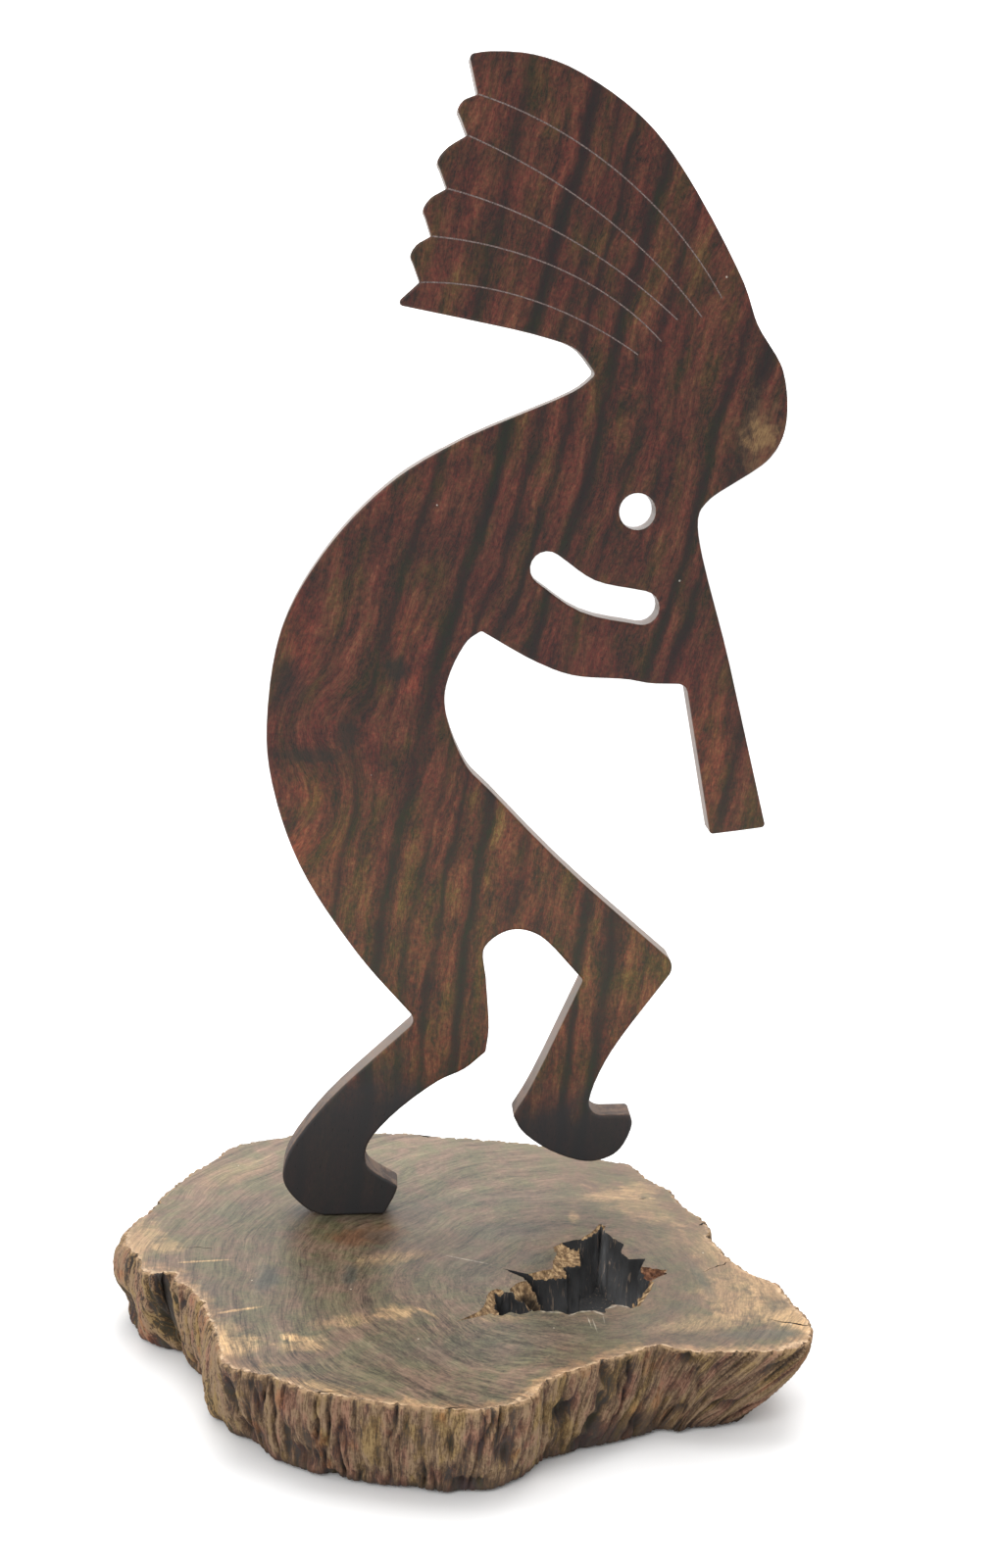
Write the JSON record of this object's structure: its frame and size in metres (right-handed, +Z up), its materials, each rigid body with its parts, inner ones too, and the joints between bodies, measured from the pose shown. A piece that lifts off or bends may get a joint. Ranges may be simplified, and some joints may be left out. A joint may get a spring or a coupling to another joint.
{
  "type": "wooden kokopelli figure",
  "caption": "Dark hardwood flute player sawn in outline from a board, standing on a live-edge slice of log with a rotted hollow.",
  "frame": {"origin": "middle of the log slice's flat underside", "axes": "+Z up along the standing figure, -Y the figure's scored front face, +X the way the figure faces with its flute"},
  "size_m": [0.1907, 0.1764, 0.3553],
  "materials": {
    "dark_hardwood": "rubbed and oiled dark reddish-brown heartwood with near-black streaks and a low sheen",
    "log_wood": "sealed grey-brown end grain with golden sapwood, and a raw fissured tan wall"
  },
  "bodies": {
    "root": {"kokopelli_figure": "dark_hardwood", "log_base": "log_wood"}
  },
  "joints": []
}
